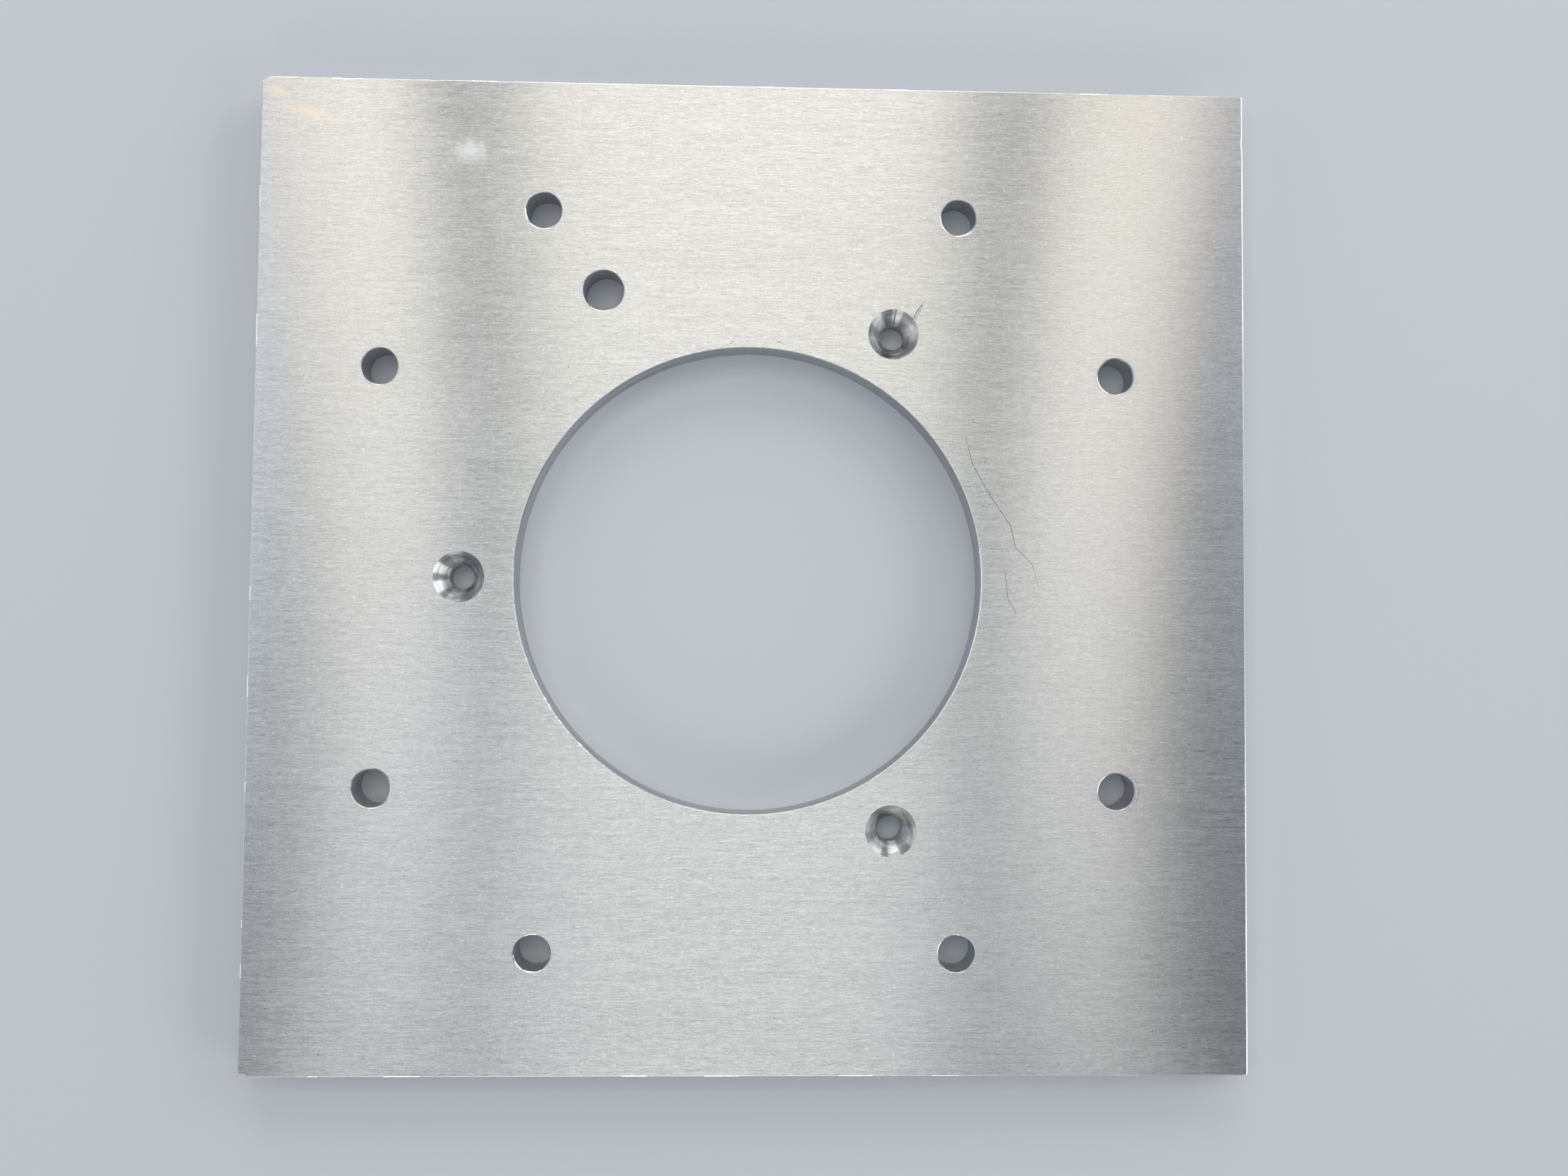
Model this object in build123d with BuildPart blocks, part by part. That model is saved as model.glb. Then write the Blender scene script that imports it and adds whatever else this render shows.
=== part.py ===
from build123d import *
import math
import os

# A square router plate of brushed aluminium sheet, one solid.
# It lies on its back face, with the brushed and countersunk face up.
# The origin is on the axis of the large opening, at the back face.

# Sheet
plate_width = 203.2
plate_height = 202.5
plate_thickness = 6.35
edge_break = 0.2

# The hole pattern sits a little off the middle of the sheet
pattern_offset_x = 0.92
pattern_offset_y = 1.16

# Large opening that the router's bit and collet reach through
opening_diameter = 95.4
opening_break = 0.15

# Nicks that the saw left in the opening's front rim
nick_radius = 0.35
nick_angles = (186.5, 213.5, 216.0, 220.5, 226.5, 303.5)

# Flat-head screw holes that hold the router, evenly spaced about the opening
screw_circle_diameter = 117.7
screw_count = 3
screw_start_angle = 60.0
screw_hole_diameter = 5.1
countersink_diameter = 10.45
countersink_angle = 82.0

# Eight plain fixing holes, at the corners of a tall and a wide rectangle
fixing_spacing_short = 85.6
fixing_spacing_long = 151.2
fixing_hole_diameter = 7.35
wide_hole_diameter = 7.6

# Hole for a starting pin
pin_hole_diameter = 8.3
pin_hole_reach = 66.5
pin_hole_angle = 117.2

# Edge break of the plain holes, front and back
hole_break = 0.2

# Cut corner, top left
cut_corner_width = 1.35
cut_corner_height = 0.7

# Rounded corner, bottom right
rounded_corner_radius = 0.6

# Bitten corner, bottom left: a ledge and then a hollow
bite_width = 1.85
bite_height = 1.02
ledge_width = 1.4
ledge_height = 0.55
ledge_bulge = 0.12
hollow_depth = 0.08

# Gouge that leaves the first countersink's rim at a slant and fades to a point
gouge_length = 4.8
gouge_width = 0.6
gouge_mouth_width = 0.4
gouge_widest_share = 0.35
gouge_mouth_angle = 38.1
gouge_direction = 59.4
gouge_overrun = 0.5

# Small nick in the same countersink's rim
rim_nick_radius = 0.25
rim_nick_angle = 239.0

# Edges and corners of the sheet in the frame of the opening
left_x = pattern_offset_x - plate_width / 2
right_x = pattern_offset_x + plate_width / 2
top_y = pattern_offset_y + plate_height / 2
bottom_y = pattern_offset_y - plate_height / 2


def polar_point(radius, angle, height):
    """Point at a radius and an angle in degrees about the opening's axis."""
    turn = math.radians(angle)
    return (radius * math.cos(turn), radius * math.sin(turn), height)


def hole_rims(part, diameter):
    """Circular edges of a given diameter on the front and back faces."""
    rings = part.edges().filter_by(GeomType.CIRCLE)
    rings = rings.filter_by(lambda ring: abs(ring.radius - diameter / 2) < 1e-4)
    levels = rings.group_by(Axis.Z)
    return levels[0] + levels[-1]


with BuildPart() as router_plate:
    # Sheet with one rounded corner and its edges broken all round
    with BuildSketch() as sheet:
        with Locations((pattern_offset_x, pattern_offset_y)):
            Rectangle(plate_width, plate_height)
        lower_right = sheet.vertices().sort_by_distance((right_x, bottom_y))[0]
        fillet(lower_right, rounded_corner_radius)
    extrude(amount=plate_thickness)
    chamfer(router_plate.edges().filter_by(Axis.Z, reverse=True), edge_break)

    # Metal lost from the top left corner
    with BuildSketch():
        with BuildLine():
            Polyline(
                (left_x, top_y - cut_corner_height),
                (left_x, top_y),
                (left_x + cut_corner_width, top_y),
                close=True,
            )
        make_face()
    extrude(amount=plate_thickness, mode=Mode.SUBTRACT)

    # Metal bitten from the bottom left corner: a bulging ledge, then a hollow
    bite_top = (left_x, bottom_y + bite_height)
    bite_step = (left_x + ledge_width, bottom_y + ledge_height)
    bite_end = (left_x + bite_width, bottom_y)
    ledge_middle = (
        left_x + ledge_width / 2 - ledge_bulge,
        bottom_y + (ledge_height + bite_height) / 2 - ledge_bulge,
    )
    hollow_middle = (
        left_x + (ledge_width + bite_width) / 2 + hollow_depth,
        bottom_y + ledge_height / 2 + hollow_depth,
    )
    with BuildSketch():
        with BuildLine():
            ThreePointArc(bite_top, ledge_middle, bite_step)
            ThreePointArc(bite_step, hollow_middle, bite_end)
            Polyline(bite_end, (left_x, bottom_y), bite_top)
        make_face()
    extrude(amount=plate_thickness, mode=Mode.SUBTRACT)

    # Large opening
    Hole(opening_diameter / 2)
    chamfer(hole_rims(router_plate, opening_diameter), opening_break)

    # Two rectangles of plain fixing holes, one of them drilled oversize
    with GridLocations(fixing_spacing_short, fixing_spacing_long, 2, 2):
        Hole(fixing_hole_diameter / 2)
    with GridLocations(fixing_spacing_long, fixing_spacing_short, 2, 2):
        Hole(fixing_hole_diameter / 2)
    with Locations((-fixing_spacing_long / 2, -fixing_spacing_short / 2)):
        Hole(wide_hole_diameter / 2)
    with Locations(polar_point(pin_hole_reach, pin_hole_angle, 0)):
        Hole(pin_hole_diameter / 2)
    for diameter in (fixing_hole_diameter, wide_hole_diameter, pin_hole_diameter):
        chamfer(hole_rims(router_plate, diameter), hole_break)

    # Countersunk screw holes
    with Locations((0, 0, plate_thickness)):
        with PolarLocations(screw_circle_diameter / 2, screw_count, screw_start_angle):
            CounterSinkHole(
                radius=screw_hole_diameter / 2,
                counter_sink_radius=countersink_diameter / 2,
                counter_sink_angle=countersink_angle,
            )

    # Nicks in the opening's front rim
    nick_spots = [polar_point(opening_diameter / 2, turn, plate_thickness) for turn in nick_angles]
    with Locations(nick_spots):
        Sphere(nick_radius, mode=Mode.SUBTRACT)

    # Nick in the first countersink's rim
    screw_spot = Vector(*polar_point(screw_circle_diameter / 2, screw_start_angle, plate_thickness))
    with Locations(screw_spot + Vector(*polar_point(countersink_diameter / 2, rim_nick_angle, 0))):
        Sphere(rim_nick_radius, mode=Mode.SUBTRACT)

    # Gouge: half of a slim spindle laid in the front face
    run = Vector(1, 0).rotate(Axis.Z, gouge_direction)
    gouge_start = screw_spot + Vector(*polar_point(countersink_diameter / 2, gouge_mouth_angle, 0))
    gouge_plane = Plane(origin=gouge_start, x_dir=run, z_dir=(0, 0, 1))
    with BuildSketch(gouge_plane):
        with BuildLine():
            gouge_mouth = (-gouge_overrun, gouge_mouth_width / 2)
            gouge_tip = (gouge_length, 0)
            Polyline(gouge_tip, (-gouge_overrun, 0), gouge_mouth)
            Spline(gouge_mouth, (gouge_length * gouge_widest_share, gouge_width / 2), gouge_tip)
        make_face()
    revolve(axis=Axis(gouge_plane.origin, run), mode=Mode.SUBTRACT)

router_plate.part.label = "router_plate"

os.makedirs("parts", exist_ok=True)
export_step(router_plate.part, "parts/router_plate.step")
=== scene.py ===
"""Looks of the router plate: brushed aluminium sheet, sawn, bored and drilled, on a plain pale floor."""

import logging
import math
from collections.abc import Callable, Iterable, Sequence
from dataclasses import dataclass
from enum import Enum

import bmesh
import bpy
from mathutils import Matrix, Vector, noise

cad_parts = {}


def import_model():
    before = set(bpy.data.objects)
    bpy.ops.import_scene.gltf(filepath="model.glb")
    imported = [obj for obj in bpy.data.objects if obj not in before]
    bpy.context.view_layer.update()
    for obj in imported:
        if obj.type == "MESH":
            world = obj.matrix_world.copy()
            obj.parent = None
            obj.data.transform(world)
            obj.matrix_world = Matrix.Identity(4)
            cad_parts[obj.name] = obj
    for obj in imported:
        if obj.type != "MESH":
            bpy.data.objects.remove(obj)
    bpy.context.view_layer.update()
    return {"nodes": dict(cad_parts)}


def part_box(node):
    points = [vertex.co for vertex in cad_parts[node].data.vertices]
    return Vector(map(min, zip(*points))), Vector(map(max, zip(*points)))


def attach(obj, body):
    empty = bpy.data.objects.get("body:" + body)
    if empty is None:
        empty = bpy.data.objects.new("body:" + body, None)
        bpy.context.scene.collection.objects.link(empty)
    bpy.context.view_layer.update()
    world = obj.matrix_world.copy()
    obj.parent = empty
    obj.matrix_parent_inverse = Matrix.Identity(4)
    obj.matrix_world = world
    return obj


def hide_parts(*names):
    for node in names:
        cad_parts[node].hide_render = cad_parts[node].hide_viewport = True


log = logging.getLogger("router_plate")

# Metres in a millimetre. The meshes are modelled in millimetres and scaled once, at the end.
MM = 0.001
FULL_TURN = 2 * math.pi
GRAIN_MAP = "grain"
# Middle of a noise's range, and of the blend between a finish's dark and light.
EVEN = 0.5
# How fast the grain changes through the sheet's thickness, in turns a millimetre.
THROUGH = 0.02
# Share of an edge break's width at which its rounding turns down.
SOFT_SHARE = 0.3
# Slack in millimetres when heights are compared.
SLACK = 0.01

Colour = tuple[float, float, float]
Point = tuple[float, float]
# Marks about an axis: for each its angle in degrees, its reach in degrees and its size in millimetres.
Arcs = tuple[tuple[float, float, float], ...]


class Finish(Enum):
    """Finishes of the plate, in the order of its material slots."""

    FACE = 0
    # Hole walls, darkened as painted shade; the same finish paints shade on rim and edge breaks.
    WALL = 1
    CONE = 2
    SAWN = 3
    # Pale fresh-cut metal, which also serves as painted highlight on rim and edge breaks.
    BRIGHT = 4
    # Dark marks: the gouge's painted shade, and the dark scratches and specks.
    DARK_MARK = 5
    SCORE = 6


def polar(radius: float, degrees: float, centre: Point = (0.0, 0.0)) -> Point:
    """Point at a radius and an angle in degrees about a centre."""
    turn = math.radians(degrees)
    return centre[0] + radius * math.cos(turn), centre[1] + radius * math.sin(turn)


def ripple(x: float, y: float = 0.0, z: float = 0.0) -> float:
    """Smooth fixed noise from about -1 to 1."""
    return noise.noise(Vector((x, y, z)))


def bump(offset: float, width: float) -> float:
    """Rounded hill that is 1 at no offset and 0 from a width away."""
    share = min(1.0, abs(offset) / width)
    return 1.0 - share * share * (3.0 - 2.0 * share)


def turn_between(first: float, second: float) -> float:
    """Signed difference of two angles in degrees, from -180 to 180."""
    return (first - second + 180.0) % 360.0 - 180.0


def along_grain(corner: Vector, middle: Vector) -> Point:
    """Place on the grain map of a surface that keeps the sheet's own brushing."""
    return corner.y, corner.x


def marked(arcs: Arcs, degrees: float) -> float:
    """Sum at an angle of marks about an axis, each a rounded hill."""
    return sum(size * bump(turn_between(degrees, angle), reach) for angle, reach, size in arcs)


class Sock:
    """A socket of a shader tree that takes arithmetic, which adds Math nodes."""

    def __init__(self, tree: "ShaderTree", socket: bpy.types.NodeSocket) -> None:
        """Wraps one output socket of a tree."""
        self.tree = tree
        self.socket = socket

    def maths(self, operation: str, *operands: "Sock | float") -> "Sock":
        """Math node on this socket and more operands.

        Args:
            operation: The Math node's operation.
            operands: Everything that goes into the node, in order.

        Returns:
            The node's value.
        """
        return self.tree.node("ShaderNodeMath", {"operation": operation}, dict(enumerate(operands)))["Value"]

    def __add__(self, other: "Sock | float") -> "Sock":
        """Sum."""
        return self.maths("ADD", self, other)

    def __radd__(self, other: float) -> "Sock":
        """Sum, the number first."""
        return self.maths("ADD", other, self)

    def __sub__(self, other: "Sock | float") -> "Sock":
        """Difference."""
        return self.maths("SUBTRACT", self, other)

    def __rsub__(self, other: float) -> "Sock":
        """Difference, the number first."""
        return self.maths("SUBTRACT", other, self)

    def __mul__(self, other: "Sock | float") -> "Sock":
        """Product."""
        return self.maths("MULTIPLY", self, other)

    def __rmul__(self, other: float) -> "Sock":
        """Product, the number first."""
        return self.maths("MULTIPLY", other, self)

    def ramp(self, low: float, high: float, start: float = 0.0, end: float = 1.0) -> "Sock":
        """Smooth step between two values.

        Args:
            low: Value at which the step begins.
            high: Value at which it ends.
            start: Result below the step.
            end: Result above the step.

        Returns:
            The stepped value.
        """
        settings = {"interpolation_type": "SMOOTHSTEP"}
        values = {"Value": self, "From Min": low, "From Max": high, "To Min": start, "To Max": end}
        return self.tree.node("ShaderNodeMapRange", settings, values)["Result"]


class Step:
    """A node whose outputs are read by name."""

    def __init__(self, tree: "ShaderTree", node: bpy.types.Node) -> None:
        """Wraps one node of a tree."""
        self.tree = tree
        self.node = node

    def __getitem__(self, name: str | int) -> Sock:
        """Output of that name or number."""
        return Sock(self.tree, self.node.outputs[name])


class ShaderTree:
    """Node tree of one material."""

    def __init__(self, name: str) -> None:
        """Makes a material with an empty tree.

        Args:
            name: The material's name.
        """
        self.material = bpy.data.materials.new(name)
        self.material.use_nodes = True
        self.material.node_tree.nodes.clear()

    def node(self, kind: str, settings: dict | None = None, values: dict | None = None) -> Step:
        """Adds a node.

        Args:
            kind: The node's type.
            settings: The node's own settings.
            values: A number, a colour or a socket for each input, by name or number.

        Returns:
            The node, ready for its outputs to be read.
        """
        made = self.material.node_tree.nodes.new(kind)
        for name, setting in (settings or {}).items():
            setattr(made, name, setting)
        for name, value in (values or {}).items():
            if isinstance(value, Sock):
                self.material.node_tree.links.new(value.socket, made.inputs[name])
            else:
                made.inputs[name].default_value = value
        return Step(self, made)

    def mix(self, factor: Sock | float, first: Sock | Colour, second: Sock | Colour) -> Sock:
        """Colour between two colours.

        Args:
            factor: 0 for the first colour and 1 for the second.
            first: A colour or a socket.
            second: A colour or a socket.

        Returns:
            The mixed colour.
        """
        settings = {"data_type": "RGBA", "clamp_factor": True}
        first, second = (end if isinstance(end, Sock) else (*end, 1.0) for end in (first, second))
        return self.node("ShaderNodeMix", settings, {0: factor, 6: first, 7: second})[2]

    def stretched(self, place: Sock, stretch: Sequence[float], shift: Sequence[float] = (0, 0, 0)) -> Sock:
        """Place scaled by three factors and then shifted.

        Args:
            place: A vector.
            stretch: The factors.
            shift: What is added afterwards.

        Returns:
            The new vector.
        """
        settings = {"operation": "MULTIPLY_ADD"}
        return self.node("ShaderNodeVectorMath", settings, {0: place, 1: stretch, 2: shift})["Vector"]

    def grain(self, place: Sock, stretch: Sequence[float], detail: float = 1.0, shift: float = 0.0) -> Sock:
        """Noise stretched by three factors.

        Args:
            place: A vector.
            stretch: How often the noise repeats in a unit along each axis.
            detail: Octaves of the noise.
            shift: Where in the noise this grain is taken.

        Returns:
            The noise, from 0 to 1 and mostly near a half.
        """
        spot = self.stretched(place, stretch, (shift, shift, shift))
        return self.node("ShaderNodeTexNoise", None, {"Vector": spot, "Scale": 1.0, "Detail": detail})["Fac"]

    def place(self) -> Sock:
        """Place on the piece, in millimetres."""
        spot = self.node("ShaderNodeTexCoord")["Object"]
        return self.stretched(spot, (1 / MM, 1 / MM, 1 / MM))

    def unwrapped(self) -> Sock:
        """Place on the grain map, in millimetres: across the grain, then along it."""
        return self.node("ShaderNodeUVMap", {"uv_map": GRAIN_MAP})["UV"]

    def metal(
        self,
        colour: Sock,
        roughness: Sock,
        height: Sock,
        depth: float,
        anisotropy: float,
        metallic: Sock | float = 1.0,
    ) -> bpy.types.Material:
        """Ends the tree in a metal whose gloss spreads across the grain.

        Args:
            colour: Base colour.
            roughness: Roughness.
            height: Relief, from 0 to 1.
            depth: Height of that relief, in millimetres.
            anisotropy: How far the gloss spreads across the grain.
            metallic: Share of bare metal.

        Returns:
            The finished material.
        """
        relief = {"Strength": 1.0, "Distance": depth * MM, "Height": height}
        across = self.node("ShaderNodeTangent", {"direction_type": "UV_MAP", "uv_map": GRAIN_MAP})["Tangent"]
        values = {
            "Base Color": colour,
            "Metallic": metallic,
            "Roughness": roughness,
            "Anisotropic": anisotropy,
            "Tangent": across,
            "Normal": self.node("ShaderNodeBump", None, relief)["Normal"],
        }
        surface = self.node("ShaderNodeBsdfPrincipled", None, values)["BSDF"]
        self.node("ShaderNodeOutputMaterial", None, {"Surface": surface})
        return self.material


@dataclass(frozen=True)
class Streaks:
    """One layer of the brushed grain. Lengths are in millimetres."""

    length: float
    width: float
    tone: float
    gloss: float
    relief: float


@dataclass(frozen=True)
class Flecks:
    """Short marks scattered over the face: the lighter ones are painted glints, the darker ones dark specks.
    Lengths are in millimetres.
    """

    length: float
    width: float
    seed: float
    threshold: float
    full: float
    tone: float


@dataclass(frozen=True)
class Stain:
    """Patch of residue on the brushed face, in millimetres and degrees."""

    x: float
    y: float
    length: float
    width: float
    tilt: float
    colour: Colour
    strength: float
    bare: float


@dataclass(frozen=True)
class BrushedFinish:
    """Straight satin grain along X, with residue left on it."""

    dark: Colour = (0.62, 0.615, 0.60)
    light: Colour = (0.98, 0.975, 0.96)
    roughness: float = 0.31
    anisotropy: float = 1.0
    relief_depth: float = 0.004
    front: float = 6.32
    stain_depth: float = 2.5
    layers: tuple[Streaks, ...] = (
        Streaks(length=0.36, width=0.16, tone=0.85, gloss=0.03, relief=0.0),
        Streaks(length=1.2, width=0.18, tone=0.70, gloss=0.05, relief=0.5),
        Streaks(length=4.5, width=0.22, tone=0.60, gloss=0.06, relief=0.5),
        Streaks(length=20.0, width=0.7, tone=0.25, gloss=0.03, relief=0.0),
        Streaks(length=60.0, width=7.0, tone=0.14, gloss=0.02, relief=0.0),
    )
    seed_step: float = 7.3
    # Painted glints (the lighter flecks) and dark specks.
    glints_and_dark_specks: tuple[Flecks, ...] = (
        Flecks(length=1.1, width=0.22, seed=41.0, threshold=0.66, full=0.78, tone=0.6),
        Flecks(length=2.4, width=0.18, seed=57.0, threshold=0.68, full=0.80, tone=-0.4),
    )
    speckle_rates: Point = (0.8, 3.4)
    speckle_octaves: float = 3.0
    speckle_seed: float = 13.0
    stain_raggedness: float = 2.8
    stain_edge: Point = (0.2, 1.2)
    stain_gloss: float = 0.4
    stains: tuple[Stain, ...] = (
        Stain(-58.0, 87.7, 3.3, 2.4, 0.0, (0.97, 0.97, 0.95), 0.9, 0.9),
        Stain(-91.6, 95.2, 6.6, 1.2, -14.0, (1.0, 0.93, 0.75), 0.75, 0.05),
        Stain(-97.6, 99.4, 2.8, 1.3, -20.0, (1.0, 0.93, 0.76), 0.75, 0.05),
    )

    def stain_mask(self, tree: ShaderTree, place: Sock, stain: Stain, speckle: Sock) -> Sock:
        """Soft ragged patch.

        Args:
            tree: The material's tree.
            place: Place on the piece, in millimetres.
            stain: The patch.
            speckle: Noise that breaks the patch up.

        Returns:
            The patch's strength at each place.
        """
        values = {"Vector": place, "Center": (stain.x, stain.y, 0.0), "Axis": (0, 0, 1)}
        values["Angle"] = math.radians(-stain.tilt)
        turned = tree.node("ShaderNodeVectorRotate", {"rotation_type": "AXIS_ANGLE"}, values)["Vector"]
        stretch = (1 / stain.length, 1 / stain.width, 1 / self.stain_depth)
        shift = (-stain.x / stain.length, -stain.y / stain.width, -self.front / self.stain_depth)
        local = tree.stretched(turned, stretch, shift)
        reach = tree.node("ShaderNodeVectorMath", {"operation": "LENGTH"}, {0: local})["Value"]
        return (reach + (speckle - EVEN) * self.stain_raggedness).ramp(*self.stain_edge, stain.strength, 0.0)

    def material(self) -> bpy.types.Material:
        """Builds the finish.

        Returns:
            The material.
        """
        tree = ShaderTree("brushed_face")
        place = tree.place()
        tone, gloss, relief = EVEN, self.roughness, EVEN
        for number, layer in enumerate(self.layers):
            rates = (1 / layer.length, 1 / layer.width, THROUGH)
            streak = tree.grain(place, rates, 0.0, self.seed_step * number) - EVEN
            tone = streak * layer.tone + tone
            gloss = streak * layer.gloss + gloss
            if layer.relief > 0:
                relief = streak * layer.relief + relief
        # The lighter flecks paint glints into the colour; the darker ones are dark specks.
        for fleck in self.glints_and_dark_specks:
            mark = tree.grain(place, (1 / fleck.length, 1 / fleck.width, THROUGH), 0.0, fleck.seed)
            tone = tone + mark.ramp(fleck.threshold, fleck.full, 0.0, fleck.tone)
        colour = tree.mix(tone, self.dark, self.light)
        speckle = tree.grain(place, (*self.speckle_rates, THROUGH), self.speckle_octaves, self.speckle_seed)
        residue = 0.0
        for stain in self.stains:
            mask = self.stain_mask(tree, place, stain, speckle)
            colour = tree.mix(mask, colour, stain.colour)
            residue = mask * stain.bare + residue
        gloss = gloss + residue * self.stain_gloss
        return tree.metal(colour, gloss, relief, self.relief_depth, self.anisotropy, 1.0 - residue)


@dataclass(frozen=True)
class ToolFinish:
    """Metal left by a saw, drill, cutter or file, whose marks run along the grain map."""

    name: str
    dark: Colour
    light: Colour
    roughness: float
    anisotropy: float
    mark_width: float
    mark_length: float
    relief_depth: float
    blotch: float = 1.5
    blotch_tone: float = 0.5
    contrast: float = 1.1
    turned: bool = True
    metallic: float = 1.0
    octaves: float = 2.0
    wide_share: float = 0.3
    wide_tone: float = 0.7
    gloss_swing: Point = (0.12, 0.10)
    seeds: tuple[float, float, float] = (3.7, 9.1, 21.0)

    def along(self, tree: ShaderTree) -> Sock:
        """Place among the marks: across them in X and along them in Y, or in Y and Z about a turned surface.

        Args:
            tree: The material's tree.

        Returns:
            The place, which closes on itself after a full turn.
        """
        spot = tree.unwrapped()
        if not self.turned:
            return spot
        parts = tree.node("ShaderNodeSeparateXYZ", None, {"Vector": spot})
        turn = parts["Y"] * FULL_TURN
        ring = {"X": parts["X"], "Y": turn.maths("COSINE", turn), "Z": turn.maths("SINE", turn)}
        return tree.node("ShaderNodeCombineXYZ", None, ring)["Vector"]

    def material(self) -> bpy.types.Material:
        """Builds the finish.

        Returns:
            The material.
        """
        tree = ShaderTree(self.name)
        spot = self.along(tree)
        fine_seed, wide_seed, patch_seed = self.seeds
        along = 1 / self.mark_length
        fine = tree.grain(spot, (1 / self.mark_width, along, along), self.octaves, fine_seed)
        wide = tree.grain(spot, (self.wide_share / self.mark_width, along / 2, along / 2), 0.0, wide_seed)
        patches = tree.grain(tree.place(), (1 / self.blotch,) * 3, 1.0, patch_seed)
        tone = (fine - EVEN) * self.contrast + (wide - EVEN) * self.wide_tone
        tone = tone + (patches - EVEN) * self.blotch_tone + EVEN
        fine_gloss, patch_gloss = self.gloss_swing
        gloss = (fine - EVEN) * fine_gloss + (patches - EVEN) * patch_gloss + self.roughness
        colour = tree.mix(tone, self.dark, self.light)
        relief = fine * (1.0 - self.wide_share) + wide * self.wide_share
        return tree.metal(colour, gloss, relief, self.relief_depth, self.anisotropy, self.metallic)


# Darker than the face's metal: painted shade on the holes' walls, on the shaded arcs of rim breaks and on the
# shaded sides of the outline's edge break.
BORED_WALL_SHADED = ToolFinish(
    name="bored_wall_shaded",
    dark=(0.33, 0.34, 0.36),
    light=(0.64, 0.65, 0.67),
    roughness=0.36,
    anisotropy=0.6,
    mark_width=0.22,
    mark_length=0.6,
    relief_depth=0.004,
)
TURNED_CONE = ToolFinish(
    name="turned_cone",
    dark=(0.26, 0.27, 0.28),
    light=(0.80, 0.80, 0.79),
    roughness=0.27,
    anisotropy=0.85,
    mark_width=0.17,
    mark_length=1.3,
    relief_depth=0.016,
    blotch=2.0,
    contrast=2.2,
)
SAWN_EDGE = ToolFinish(
    name="sawn_edge",
    dark=(0.42, 0.42, 0.43),
    light=(0.80, 0.80, 0.80),
    roughness=0.38,
    anisotropy=0.7,
    mark_width=0.30,
    mark_length=5.0,
    relief_depth=0.012,
    blotch=4.0,
    turned=False,
)
# Pale fresh-cut metal; on the rim and edge breaks it is also a painted highlight, set against the darker wall
# finish on their shaded parts.
BRIGHT_EDGE = ToolFinish(
    name="bright_edge",
    dark=(0.72, 0.72, 0.72),
    light=(0.98, 0.98, 0.97),
    roughness=0.26,
    anisotropy=0.3,
    mark_width=0.25,
    mark_length=0.12,
    relief_depth=0.004,
    blotch=0.8,
    blotch_tone=0.9,
)
# Dark finish of the scratches and specks, and the painted shade inside the gouge.
DARK_MARK_FINISH = ToolFinish(
    name="dark_mark",
    dark=(0.10, 0.09, 0.11),
    light=(0.36, 0.34, 0.39),
    roughness=0.42,
    anisotropy=0.2,
    mark_width=0.12,
    mark_length=1.5,
    relief_depth=0.006,
    blotch=0.5,
    turned=False,
)
PALE_SCORE = ToolFinish(
    name="pale_score",
    dark=(0.95, 0.95, 0.94),
    light=(1.0, 1.0, 0.99),
    roughness=0.40,
    anisotropy=0.0,
    mark_width=0.12,
    mark_length=0.5,
    relief_depth=0.002,
    turned=False,
    metallic=0.0,
)


@dataclass(frozen=True)
class Waver:
    """Smooth unevenness: its size in millimetres, and how fast it comes and goes."""

    size: float
    rate: float


@dataclass(frozen=True)
class Station:
    """Point of a hole's section, and the finish of the wall that leads on from it."""

    radius: float
    height: float
    finish: Finish


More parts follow.
